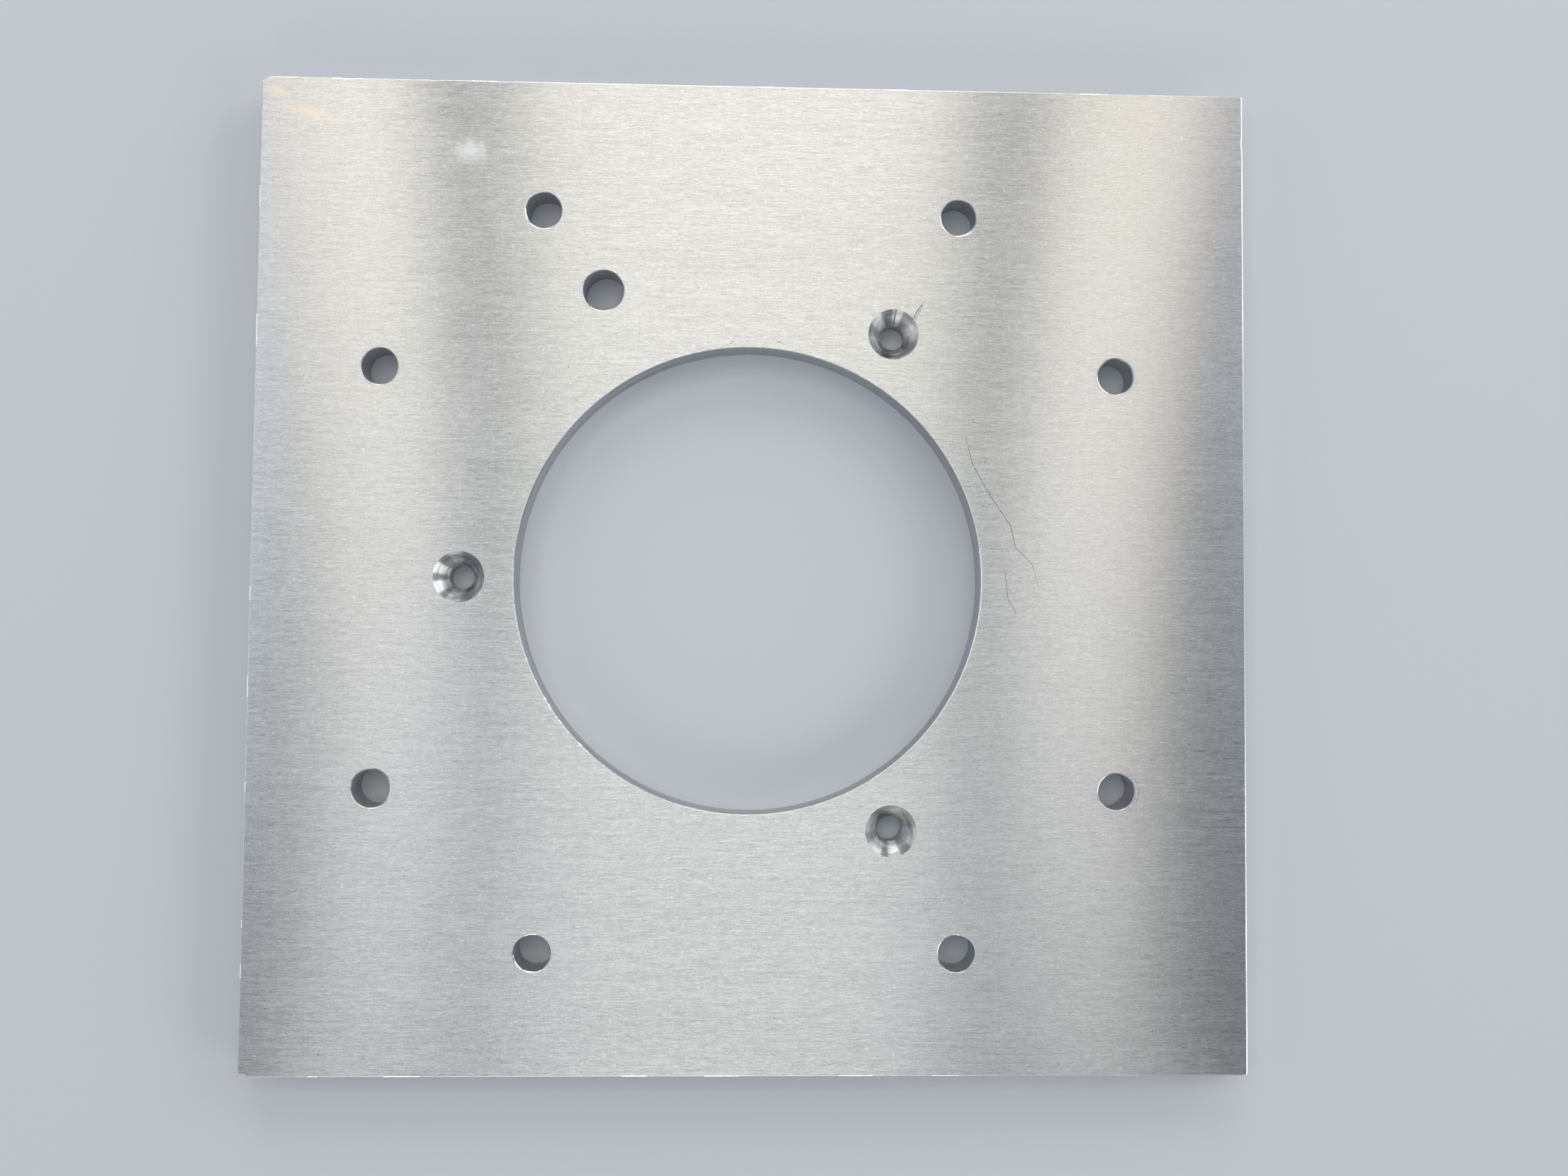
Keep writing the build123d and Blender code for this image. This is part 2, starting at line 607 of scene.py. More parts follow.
class PlateMesh:
    """A part of the plate's mesh while it is being built, or all of it, in millimetres."""

    sharp_from = math.radians(28.0)

    def __init__(self, front: float) -> None:
        """Starts an empty mesh.

        Args:
            front: Height of the plate's front face.
        """
        self.bm = bmesh.new()
        self.grain = self.bm.loops.layers.uv.new(GRAIN_MAP)
        self.front = front
        self.flat_rims: list[bmesh.types.BMEdge] = []

    def absorb(self, part: "PlateMesh") -> None:
        """Takes over another part's mesh, which ends there.

        Args:
            part: The other part.
        """
        carrier = bpy.data.meshes.new("part")
        part.bm.to_mesh(carrier)
        part.bm.free()
        self.bm.from_mesh(carrier)
        bpy.data.meshes.remove(carrier)

    def lay_grain(self, faces: Iterable[bmesh.types.BMFace], rule: Callable[[Vector, Vector], Point]) -> None:
        """Writes the grain map of some faces.

        Args:
            faces: The faces.
            rule: Gives the place on the map from a corner and its face's middle.
        """
        for face in faces:
            middle = face.calc_center_median()
            for loop in face.loops:
                loop[self.grain].uv = rule(loop.vert.co, middle)

    def close(self, front: bool) -> None:
        """Fills one broad face between its outline and the rims of its holes.

        Args:
            front: Whether the front face is filled, or else the back.
        """
        half = self.front / 2
        rims = [
            edge
            for edge in self.bm.edges
            if edge.is_boundary and ((edge.verts[0].co.z > half) == front)
        ]
        normal = (0, 0, 1) if front else (0, 0, -1)
        filled = bmesh.ops.triangle_fill(
            self.bm, use_beauty=False, use_dissolve=False, edges=rims, normal=normal
        )
        made = [item for item in filled["geom"] if isinstance(item, bmesh.types.BMFace)]
        for face in made:
            face.material_index = Finish.FACE.value
        self.flat_rims += rims
        self.lay_grain(made, along_grain)

    def crease(self) -> None:
        """Marks the edges that the shading doesn't round: the sharp ones and those of the broad faces."""
        for edge in self.bm.edges:
            edge.smooth = edge.calc_face_angle(0.0) < self.sharp_from
        for edge in self.flat_rims:
            edge.smooth = False
        for face in self.bm.faces:
            face.smooth = True

    def settle(self) -> None:
        """Puts faces and edges in the order of their points, because a spin lists them anew each time."""
        self.bm.verts.index_update()
        count = len(self.bm.verts)

        def rank(item: bmesh.types.BMFace | bmesh.types.BMEdge) -> int:
            """One number from the first points of a face or an edge, three of them at most."""
            points = sorted(vert.index for vert in item.verts)[:3]
            return sum(point * count**place for place, point in enumerate(points))

        self.bm.faces.sort(key=rank)
        self.bm.edges.sort(key=rank)

    def finish(self, name: str, materials: Sequence[bpy.types.Material]) -> bpy.types.Object:
        """Turns the mesh into an object in metres.

        Args:
            name: The object's name.
            materials: Its materials, in the order of the finishes.

        Returns:
            The object, at the origin and linked to the scene.
        """
        bmesh.ops.recalc_face_normals(self.bm, faces=self.bm.faces)
        self.crease()
        self.settle()
        bmesh.ops.scale(self.bm, vec=(MM, MM, MM), verts=self.bm.verts)
        mesh = bpy.data.meshes.new(name)
        self.bm.to_mesh(mesh)
        self.bm.free()
        for material in materials:
            mesh.materials.append(material)
        piece = bpy.data.objects.new(name, mesh)
        bpy.context.scene.collection.objects.link(piece)
        return piece


@dataclass
class RoundHole:
    """Through hole spun about its own axis, with a broken rim at each face. Lengths are in millimetres."""

    name: str
    x: float
    y: float
    diameter: float
    rim_break: float = 0.2
    steps: int = 128
    wall_levels: int = 7
    ring_reach: float = 1.1
    ring_depth: float = 0.004
    # Section of the faint rings about the rim: shares of their reach and of their depth.
    rings_section: tuple[Point, ...] = (
        (1.0, 0.0), (0.94, 0.0), (0.84, 1.0), (0.74, 0.0), (0.30, 0.0), (0.22, 0.6), (0.14, 0.0)
    )
    burr: float = 0.02
    burr_fall: float = 0.4
    lip_width: float = 0.04
    lip_margin: float = 0.05
    rim_share: float = 0.9
    lean: float = 0.0
    lean_angle: float = 0.0
    # Arc of the front rim, in degrees, whose break gets the darker wall finish as painted shade.
    painted_shade_arc: Point = (-60.0, 80.0)
    exit_burrs: Arcs = ()
    exit_height: float = 0.3
    exit_size: Point = (0.65, 0.5)
    exit_rate: float = 0.35
    exit_drift: float = 0.37
    exit_bright: float = 0.3
    rim_waver: Waver = Waver(0.022, 9.0)
    wall_waver: Waver = Waver(0.012, 2.0)
    wall_rise: float = 1.7
    drift: Point = (0.37, 0.53)

    @property
    def centre(self) -> Point:
        """Centre of the hole."""
        return self.x, self.y

    @property
    def radius(self) -> float:
        """Radius of the hole."""
        return self.diameter / 2

    def lip(self, front: float) -> list[Station]:
        """Stations of the raised lip beside the edge break.

        Args:
            front: Height of the front face.

        Returns:
            The stations, inwards.
        """
        rim = self.radius + self.rim_break
        return [
            Station(rim + self.lip_width, front + self.burr, Finish.FACE),
            Station(rim, front + self.burr * self.burr_fall, Finish.BRIGHT),
        ]

    def land(self, front: float) -> list[Station]:
        """Stations on the front face beside the rim: faint rings and the raised lip.

        Args:
            front: Height of the front face.

        Returns:
            The stations, inwards.
        """
        rim = self.radius + self.rim_break
        rings = [
            Station(rim + self.ring_reach * reach, front - self.ring_depth * depth, Finish.FACE)
            for reach, depth in self.rings_section
        ]
        return rings + self.lip(front)

    def wall(self, top: float, bottom: float) -> list[Station]:
        """Evenly spaced stations between two heights of the wall."""
        levels = [top + (bottom - top) * level / self.wall_levels for level in range(1, self.wall_levels)]
        return [Station(self.radius, height, Finish.WALL) for height in levels]

    def stations(self, front: float) -> list[Station]:
        """The whole section, from the front face to the back face.

        Args:
            front: Height of the front face.

        Returns:
            The stations, in order.
        """
        soft = self.rim_break * SOFT_SHARE
        top, bottom = front - self.rim_break, self.rim_break
        return [
            *self.land(front),
            Station(self.radius + soft, front - soft, Finish.BRIGHT),
            Station(self.radius, top, Finish.WALL),
            *self.wall(top, bottom),
            Station(self.radius, bottom + self.exit_height, Finish.WALL),
            Station(self.radius, bottom, Finish.BRIGHT),
            Station(self.radius + self.rim_break, 0.0, Finish.BRIGHT),
        ]

    def waver(self, waver: Waver, degrees: float, level: float = 0.0) -> float:
        """Unevenness at an angle about the axis and at a level of the noise."""
        x, y = polar(waver.rate, degrees, (self.x * self.drift[0], self.y * self.drift[1]))
        return waver.size * ripple(x, y, level)

    def near_rim(self, station: Station, front: float) -> bool:
        """Whether a point of the section belongs to the front rim or its lip."""
        edge = self.radius + self.rim_break + self.lip_margin
        return station.height > front - self.rim_break * self.rim_share and station.radius < edge

    def worn(self, station: Station, degrees: float, front: float) -> tuple[float, float]:
        """Radius and height of one point after the tool's unevenness.

        Args:
            station: The section's point.
            degrees: Where about the hole's axis.
            front: Height of the front face.

        Returns:
            The point's radius and height.
        """
        radius, height = station.radius, station.height
        if self.near_rim(station, front):
            radius += self.lean * math.cos(math.radians(turn_between(degrees, self.lean_angle)))
            radius += self.waver(self.rim_waver, degrees)
        elif height < front - self.rim_break * self.rim_share:
            radius += self.waver(self.wall_waver, degrees, height * self.wall_rise)
        return radius - self.burred(degrees, height), height

    def burred(self, degrees: float, height: float) -> float:
        """How far burrs stand into the hole at its back rim.

        Args:
            degrees: Where about the hole's axis.
            height: Height of the point.

        Returns:
            The burrs' reach inwards.
        """
        if height > self.rim_break + SLACK:
            return 0.0
        mean, swing = self.exit_size
        share = mean + swing * ripple(degrees * self.exit_rate, self.x * self.exit_drift)
        return marked(self.exit_burrs, degrees) * share

    def cut(self, front: float) -> PlateMesh:
        """Spins the hole's section and gives each band its finish and grain.

        Args:
            front: Height of the front face.

        Returns:
            The hole's wall with the land about its rim.
        """
        part = PlateMesh(front)
        bm = part.bm
        section = self.stations(front)
        number = bm.verts.layers.int.new("station")
        line = [bm.verts.new((self.x + stop.radius, self.y, stop.height)) for stop in section]
        for place, vert in enumerate(line):
            vert[number] = place
        edges = [bm.edges.new(pair) for pair in zip(line, line[1:])]
        bmesh.ops.spin(
            bm, geom=line + edges, cent=(self.x, self.y, 0), axis=(0, 0, 1), dvec=(0, 0, 0),
            angle=FULL_TURN, space=Matrix(), steps=self.steps, use_merge=True,
            use_normal_flip=False, use_duplicate=False,
        )
        for face in bm.faces:
            stop = min(vert[number] for vert in face.verts)
            face.material_index = section[stop].finish.value
        for vert in bm.verts:
            vert.co = self.placed(section[vert[number]], self.azimuth(vert.co), front)
        bm.verts.layers.int.remove(number)
        self.dress(part)
        return part

    def azimuth(self, spot: Vector) -> float:
        """Angle of a point about the hole's axis, in degrees."""
        return math.degrees(math.atan2(spot.y - self.y, spot.x - self.x))

    def placed(self, station: Station, degrees: float, front: float) -> Vector:
        """Place of one point of the section at an angle about the hole's axis."""
        radius, height = self.worn(station, degrees, front)
        return Vector((*polar(radius, degrees, self.centre), height))

    def dress(self, part: PlateMesh) -> None:
        """Sorts the rims by finish and lays the grain: straight on the face, and about the axis elsewhere.

        Args:
            part: The hole's mesh.
        """
        brushed, turned = [], []
        for face in part.bm.faces:
            finish = self.rim_finish(face, part.front)
            face.material_index = finish.value
            (brushed if finish is Finish.FACE else turned).append(face)
        part.lay_grain(brushed, along_grain)
        part.lay_grain(turned, self.around)

    def rim_finish(self, face: bmesh.types.BMFace, front: float) -> Finish:
        """Finish of a face: the front rim's break gets the darker wall finish over one arc as painted shade,
        and burrs at the back are bright.

        Args:
            face: The face, with the finish of its band.
            front: Height of the front face.

        Returns:
            The finish that it gets.
        """
        finish = Finish(face.material_index)
        middle = face.calc_center_median()
        degrees = self.azimuth(middle)
        # Painted shade: over the arc the wall finish replaces the bright one.
        in_shade = middle.z > front / 2 and self.painted_shade_arc[0] < degrees < self.painted_shade_arc[1]
        if finish is Finish.BRIGHT and in_shade:
            return Finish.WALL
        burred = self.burred(degrees, 0.0) > self.exit_bright * self.rim_break
        if finish is Finish.WALL and burred and middle.z < self.rim_break + self.exit_height:
            return Finish.BRIGHT
        return finish

    def around(self, corner: Vector, middle: Vector) -> Point:
        """Place on the grain map of a turned surface.

        Args:
            corner: A corner of a face.
            middle: The face's middle, which tells on which side of the map's seam it lies.

        Returns:
            Millimetres down the section, then turns round the axis.
        """
        radius = math.hypot(corner.x - self.x, corner.y - self.y)
        towards = math.atan2(middle.y - self.y, middle.x - self.x)
        turn = math.atan2(corner.y - self.y, corner.x - self.x)
        turn = towards + (turn - towards + math.pi) % FULL_TURN - math.pi
        return self.x - self.y + radius - self.radius - corner.z, turn / FULL_TURN


@dataclass
class Opening(RoundHole):
    """Large opening whose front rim the saw left ragged."""

    rim_break: float = 0.15
    steps: int = 900
    wall_levels: int = 6
    burr: float = 0.01
    # The upper half of the opening's front rim break is painted shade.
    painted_shade_arc: Point = (8.0, 176.0)
    land_width: float = 0.3
    nicks: Arcs = (
        (186.5, 0.34, 0.35),
        (213.5, 0.34, 0.30),
        (216.0, 0.34, 0.32),
        (220.5, 0.36, 0.34),
        (226.5, 0.34, 0.28),
        (303.5, 0.36, 0.32),
    )
    tear: float = 0.03
    ragged_arcs: Arcs = (
        (211.0, 26.0, 0.16),
        (235.0, 30.0, 0.07),
        (70.0, 40.0, 0.07),
        (120.0, 40.0, 0.05),
        (0.0, 60.0, 0.035),
    )
    # The saw's teeth: rate along the rim, seed and size, and the same for how far the rim sags between them.
    teeth: tuple[tuple[float, float, float], ...] = ((1.1, 3.1, 0.8), (3.1, 8.4, 0.5))
    sag: tuple[float, float, float] = (2.3, 5.5, 0.25)
    wall_waver: Waver = Waver(0.010, 0.35)
    wall_rise: float = 1.5
    wall_sweep: Waver = Waver(0.010, 0.05)
    sweep_seed: float = 2.0

    def land(self, front: float) -> list[Station]:
        """Stations on the front face beside the rim, which has no ring."""
        edge = self.radius + self.rim_break + self.land_width
        return [Station(edge, front, Finish.FACE), *self.lip(front)]

    def worn(self, station: Station, degrees: float, front: float) -> tuple[float, float]:
        """Radius and height of one point after the saw's tearing.

        Args:
            station: The section's point.
            degrees: Where about the opening's axis.
            front: Height of the front face.

        Returns:
            The point's radius and height.
        """
        radius, height = station.radius, station.height
        arc = math.radians(degrees) * self.radius
        if self.near_rim(station, front):
            tear = self.tear + marked(self.ragged_arcs, degrees)
            radius += tear * sum(size * ripple(arc * rate, seed) for rate, seed, size in self.teeth)
            radius += marked(self.nicks, degrees)
            rate, seed, size = self.sag
            height -= size * tear * max(0.0, ripple(arc * rate, seed))
        elif height < front - self.rim_break * self.rim_share:
            waver, sweep = self.wall_waver, self.wall_sweep
            radius += waver.size * ripple(arc * waver.rate, height * self.wall_rise)
            radius += sweep.size * ripple(arc * sweep.rate, self.sweep_seed)
        return radius, height


@dataclass(frozen=True)
class Gouge:
    """Slim furrow, in millimetres, that leaves a countersink's rim at a slant and fades to a point."""

    mouth_angle: float = 38.1
    heading: float = 59.4
    length: float = 4.8
    overrun: float = 0.9
    mouth_half: float = 0.2
    widest_half: float = 0.3
    widest_share: float = 0.35
    point_share: float = 0.5
    side_waver: Waver = Waver(0.10, 3.0)
    side_seed: float = 2.0
    depth_share: float = 0.75
    deepest: float = 0.4
    floor_waver: Waver = Waver(0.015, 6.0)
    floor_rate_across: float = 8.0
    lip_height: float = 0.03
    lip_away: float = 0.05
    lip_reach: float = 0.09
    lip_mean: float = 0.7
    lip_waver: Waver = Waver(0.3, 2.5)
    lip_fade: float = 6.0
    lip_from: float = 0.006
    # Share of the furrow's half width past which its inside is painted shade, and how that edge wavers.
    painted_shade_from: float = 0.25
    painted_shade_waver: Waver = Waver(0.5, 1.7)
    painted_shade_seed: float = 4.0
    reach: float = 5.0
    row_step: float = 0.1
    crowd_turn: float = 6.0
    spread: float = 0.7

    def sides(self, x: float, y: float, rim: float) -> Point:
        """Place of a point in the furrow's own directions.

        Args:
            x: Place from the hole's axis.
            y: Place from the hole's axis.
            rim: Radius of the hole's rim.

        Returns:
            Distance along the furrow from its mouth, and across it.
        """
        start_x, start_y = polar(rim, self.mouth_angle)
        run_x, run_y = polar(1.0, self.heading)
        x, y = x - start_x, y - start_y
        return x * run_x + y * run_y, y * run_x - x * run_y

    def beside(self, along: float) -> bool:
        """Whether the furrow or its run into the cone lies at a distance along it."""
        return -self.overrun < along < self.length

    def half_width(self, along: float) -> float:
        """Half of the furrow's width.

        Args:
            along: Distance from its mouth.

        Returns:
            The half width, which is 0 past its end.
        """
        share = along / self.length
        if share >= 1.0:
            return 0.0
        if share <= self.widest_share:
            rise = max(0.0, share) / self.widest_share
            return self.mouth_half + (self.widest_half - self.mouth_half) * math.sin(rise * math.pi / 2)
        fall = (share - self.widest_share) / (1.0 - self.widest_share)
        return self.widest_half * math.sqrt(1.0 - fall * fall) * (1.0 - self.point_share * fall)

    def height(self, x: float, y: float, z: float, front: float, rim: float) -> float:
        """Height of a point after the furrow has been scored.

        Args:
            x: Place from the hole's axis.
            y: Place from the hole's axis.
            z: The point's height before.
            front: Height of the front face.
            rim: Radius of the hole's rim.

        Returns:
            The height inside the furrow, on its lips or beyond them.
        """
        along, across = self.sides(x, y, rim)
        if not self.beside(along):
            return z
        side, floor, lip = self.side_waver, self.floor_waver, self.lip_waver
        half = self.half_width(along) * (1.0 + side.size * ripple(along * side.rate, self.side_seed))
        if abs(across) < half:
            cup = front - self.depth_share * half * math.sqrt(1.0 - (across / half) ** 2)
            return min(z, cup + floor.size * ripple(along * floor.rate, across * self.floor_rate_across))
        if z < front - 2 * SLACK:
            return z
        rise = self.lip_height * bump(abs(across) - half - self.lip_away, self.lip_reach)
        uneven = self.lip_mean + lip.size * ripple(along * lip.rate, across)
        return z + rise * uneven * min(1.0, half * self.lip_fade)

    def finish(self, x: float, y: float, z: float, front: float, rim: float) -> Finish | None:
        """Finish of a face in the furrow or on its lips: one side of the furrow gets the dark finish as
        painted shade, and the other side and the lips get the bright finish, fresh-cut metal with a painted
        highlight.

        Args:
            x: Place of the face's middle from the hole's axis.
            y: Place of the face's middle from the hole's axis.
            z: Height of the face's middle.
            front: Height of the front face.
            rim: Radius of the hole's rim.

        Returns:
            The finish, or None beyond the furrow and its lips.
        """
        along, across = self.sides(x, y, rim)
        if not self.beside(along):
            return None
        half = self.half_width(along)
        if abs(across) < half and z > front - self.deepest:
            # Painted shade on one side of the furrow, painted highlight on the other.
            waver = self.painted_shade_waver
            edge = self.painted_shade_from - waver.size * ripple(along * waver.rate, self.painted_shade_seed)
            return Finish.DARK_MARK if across > edge * half else Finish.BRIGHT
        return Finish.BRIGHT if z > front + self.lip_from else None

    def crowd(self, degrees: float) -> float:
        """Angle that draws evenly spaced points together about the furrow."""
        off = math.radians(turn_between(degrees, self.mouth_angle + self.crowd_turn))
        return degrees - math.degrees(self.spread * math.sin(off))


@dataclass
class Countersink(RoundHole):
    """Screw hole with a turned cone at the front."""

    mouth: float = 10.45
    cone_angle: float = 82.0
    rings: int = 20
    steps: int = 240
    chatter: float = 0.010
    chatter_share: float = 0.6
    chatter_rates: Point = (3.0, 5.0)
    ring_wave: Point = (0.83, 0.1)
    ring_depth: float = 0.0015
    ring_width: float = 0.09
    ring_share: float = 0.84
    land_shares: tuple[float, ...] = (1.0, 0.92, 0.84, 0.76, 0.68, 0.1)
    rim_band: float = 0.6
    rim_nicks: Arcs = ()
    scars: tuple[Point, ...] = ()
    scar_depth: float = 0.12
    scar_sway: Waver = Waver(1.2, 2.3)
    painted_shade_arc: Point = (0.0, 0.0)
    bright_band: float = 0.09
    back_share: float = 0.5
    inner_tear: float = 0.03
    tear_rate: float = 11.0
    tear_seed: float = 7.0
    tear_least: float = -0.3
    tear_depth: float = 3.7
    cone_drift: Point = (0.31, 0.47)
    gouge: Gouge | None = None

    def land(self, front: float) -> list[Station]:
        """Stations on the face about the rim, with a faint ring, and closely spaced where a gouge crosses.

        Args:
            front: Height of the front face.

        Returns:
            The stations, inwards.
        """
        aways = [share * self.ring_reach for share in self.land_shares]
        if self.gouge:
            rows = round(self.gouge.reach / self.gouge.row_step)
            aways = [self.gouge.reach * row / rows for row in range(rows, 0, -1)]
        ring = self.ring_share * self.ring_reach
        sunk = [self.ring_depth * bump(away - ring, self.ring_width) for away in aways]
        return [Station(self.mouth / 2 + away, front - down, Finish.FACE) for away, down in zip(aways, sunk)]

    def stations(self, front: float) -> list[Station]:
        """Section down the cone and through the screw hole.

        Args:
            front: Height of the front face.

        Returns:
            The stations, in order.
        """
        rim = self.mouth / 2
        depth = (rim - self.radius) / math.tan(math.radians(self.cone_angle / 2))
        cone = [Station(rim, front, Finish.CONE)]
        step, drift = self.ring_wave
        for ring in range(1, self.rings):
            share = ring / self.rings
            wave = self.chatter * ripple(ring * step, self.x * drift, self.y * drift)
            cone.append(Station(rim - (rim - self.radius) * share + wave, front - depth * share, Finish.CONE))
        top, bottom = front - depth, self.rim_break * self.back_share
        return [
            *self.land(front),
            *cone,
            Station(self.radius, top, Finish.BRIGHT),
            Station(self.radius, top - self.bright_band, Finish.WALL),
            *self.wall(top, bottom),
            Station(self.radius, bottom, Finish.BRIGHT),
            Station(self.radius + self.rim_break * self.back_share, 0.0, Finish.BRIGHT),
        ]

    def worn(self, station: Station, degrees: float, front: float) -> tuple[float, float]:
        """Radius and height of one point after the cutter's chatter.

        Args:
            station: The section's point.
            degrees: Where about the hole's axis.
            front: Height of the front face.

        Returns:
            The point's radius and height.
        """
        radius, height = station.radius, station.height
        if radius > self.mouth / 2 + SLACK:
            return radius, height
        around = polar(1.0, degrees)
        seat = (self.x * self.cone_drift[0], self.y * self.cone_drift[1])
        turning, inwards = self.chatter_rates
        wave = ripple(around[0] * turning + seat[0], around[1] * turning + seat[1], radius * inwards)
        radius += self.chatter * self.chatter_share * wave
        if abs(station.radius - self.radius) < SLACK and height > front - self.tear_depth:
            rate = self.tear_rate
            torn = ripple(around[0] * rate + seat[0], around[1] * rate + seat[1], self.tear_seed)
            radius -= self.inner_tear * max(self.tear_least, torn)
        if station.finish is Finish.CONE and height < front - SLACK:
            for angle, wide in self.scars:
                sway = self.scar_sway.size * ripple(height * self.scar_sway.rate, angle)
                radius += self.scar_depth * bump(turn_between(degrees, angle + sway), wide)
        if height > front - self.rim_band:
            radius += marked(self.rim_nicks, degrees) * (1.0 - (front - height) / self.rim_band)
        return radius - self.burred(degrees, height), height

    def placed(self, station: Station, degrees: float, front: float) -> Vector:
        """Place of one point, with the gouge scored into the face and the cone's rim.

        Args:
            station: The section's point.
            degrees: Where about the hole's axis, before points are crowded about the gouge.
            front: Height of the front face.

        Returns:
            The place.
        """
        if not self.gouge:
            return super().placed(station, degrees, front)
        spot = super().placed(station, self.gouge.crowd(degrees), front)
        if spot.z > front - self.rim_band:
            spot.z = self.gouge.height(spot.x - self.x, spot.y - self.y, spot.z, front, self.mouth / 2)
        return spot

    def dress(self, part: PlateMesh) -> None:
        """Lays the grain and marks the gouge's inside and its bright lips.

        Args:
            part: The hole's mesh.
        """
        for face in part.bm.faces:
            if not self.gouge or face.material_index == Finish.WALL.value:
                continue
            x, y, z = face.calc_center_median()
            finish = self.gouge.finish(x - self.x, y - self.y, z, part.front, self.mouth / 2)
            if finish:
                face.material_index = finish.value
        super().dress(part)


@dataclass
class Outline:
    """Sawn outer edge of the sheet, with its broken corners."""

    left: float
    right: float
    bottom: float
    top: float
    edge_break: float = 0.2
    segment: float = 0.5
    cut_corner: Point = (1.35, 0.7)
    round_corner: float = 0.6
    sharp_corner: float = 0.32
    bite: Point = (1.85, 1.02)
    ledge: Point = (1.4, 0.55)
    ledge_bulge: float = 0.12
    hollow: float = 0.08
    saw_levels: int = 3
    corner_segments: int = 6
    # Bright patches along the edge break: the noise level they start at, the noise's rate and its seed.
    bright_patch_above: float = 0.18
    bright_patch_rate: float = 0.11
    bright_patch_seed: float = 12.0
    near: float = 0.05
    # The saw's raggedness: its size, its rate along the side and its seed.
    teeth: tuple[tuple[float, float, float], ...] = ((0.035, 0.9, 4.0), (0.02, 2.7, 6.0))
    # Keeps the grain of the sides that run in X apart from that of the others.
    seam: float = 500.0
    dents: tuple[tuple[str, float, float, float], ...] = (
        ("right", 92.4, 1.6, 0.16),
        ("top", -82.9, 2.4, 0.10),
        ("top", -70.4, 1.8, 0.09),
        ("top", -65.6, 2.0, 0.12),
        ("top", -51.0, 2.6, 0.10),
        ("left", 97.2, 1.2, 0.14),
        ("left", 88.0, 1.0, 0.10),
        ("left", 71.0, 1.4, 0.10),
    )

    def corner_points(self) -> list[Point]:
        """Corners of the outline, anticlockwise from the top left.

        Returns:
            The corners, with the cut corner top left and the bitten one bottom left.
        """
        left, bottom = self.left, self.bottom
        (ledge_x, ledge_y), (bite_x, bite_y) = self.ledge, self.bite
        bulge, hollow = self.ledge_bulge, self.hollow
        return [
            (left, self.top - self.cut_corner[1]),
            (left, bottom + bite_y),
            (left + ledge_x / 2 - bulge, bottom + (ledge_y + bite_y) / 2 - bulge),
            (left + ledge_x, bottom + ledge_y),
            (left + (ledge_x + bite_x) / 2 + hollow, bottom + ledge_y / 2 + hollow),
            (left + bite_x, bottom),
            (self.right, bottom),
            (self.right, self.top),
            (left + self.cut_corner[0], self.top),
        ]

    def raggedness(self, spot: Vector) -> Vector:
        """How far the saw cut into the outline, always inwards.

        Args:
            spot: A point of the outline.

        Returns:
            The way from the point to the ragged edge.
        """
        inset = Vector((0.0, 0.0, 0.0))
        fine = 0.0
        for size, rate, seed in self.teeth:
            fine += size * max(0.0, ripple(spot.x * rate, spot.y * rate, seed))
        sides = {
            "left": (spot.x - self.left, spot.y, Vector((1, 0, 0))),
            "right": (self.right - spot.x, spot.y, Vector((-1, 0, 0))),
            "bottom": (spot.y - self.bottom, spot.x, Vector((0, 1, 0))),
            "top": (self.top - spot.y, spot.x, Vector((0, -1, 0))),
        }
        for side, (reach, along, inward) in sides.items():
            if reach > self.near:
                continue
            depth = fine
            for where, middle, width, size in self.dents:
                if where == side:
                    depth += size * bump(along - middle, width)
            inset += inward * depth
        return inset

    def sheet(self, plate: PlateMesh) -> bmesh.types.BMFace:
        """Draws the outline as one face, its long runs divided for the saw's raggedness.

        Args:
            plate: Mesh that gets the face.

        Returns:
            The face.
        """
        bm = plate.bm
        face = bm.faces.new([bm.verts.new((*point, plate.front)) for point in self.corner_points()])
        rounded = {(self.right, self.bottom): self.round_corner, (self.right, self.top): self.sharp_corner}
        for corner, radius in rounded.items():
            spot = min(face.verts, key=lambda vert: (vert.co.xy - Vector(corner)).length)
            bmesh.ops.bevel(
                bm, geom=[spot], offset=radius, offset_type="OFFSET", segments=self.corner_segments,
                profile=0.5, affect="VERTICES", material=-1,
            )
            (face,) = bm.faces
        for edge in list(face.edges):
            cuts = math.ceil(edge.calc_length() / self.segment) - 1
            if cuts > 0:
                bmesh.ops.bisect_edges(bm, edges=[edge], cuts=cuts)
        return face

    def edge_ring(self, plate: PlateMesh, face: bmesh.types.BMFace) -> list[bmesh.types.BMFace]:
        """Insets the outline twice into a rounded edge break and opens its middle.

        Args:
            plate: The outline's mesh.
            face: Its one face.

        Returns:
            The faces of the edge break.
        """
        bm = plate.bm
        for vert in face.verts:
            vert.co += self.raggedness(vert.co)
        soft = self.edge_break * SOFT_SHARE
        for thickness in (soft, self.edge_break - soft):
            bmesh.ops.inset_region(
                bm, faces=[face], thickness=thickness, use_even_offset=True, use_boundary=True
            )
        inner = set(face.verts)
        for vert in bm.verts:
            if vert.is_boundary:
                vert.co.z -= self.edge_break
            elif vert not in inner:
                vert.co.z -= soft
        bmesh.ops.delete(bm, geom=[face], context="FACES_ONLY")
        return list(bm.faces)

    def break_finish(self, middle: Vector) -> Finish:
        """Finish of the edge break: bright along the right side as a painted highlight and bright in
        scattered patches, and elsewhere the darker wall finish as painted shade.

        Args:
            middle: The middle of a face.

        Returns:
            The finish of that face.
        """
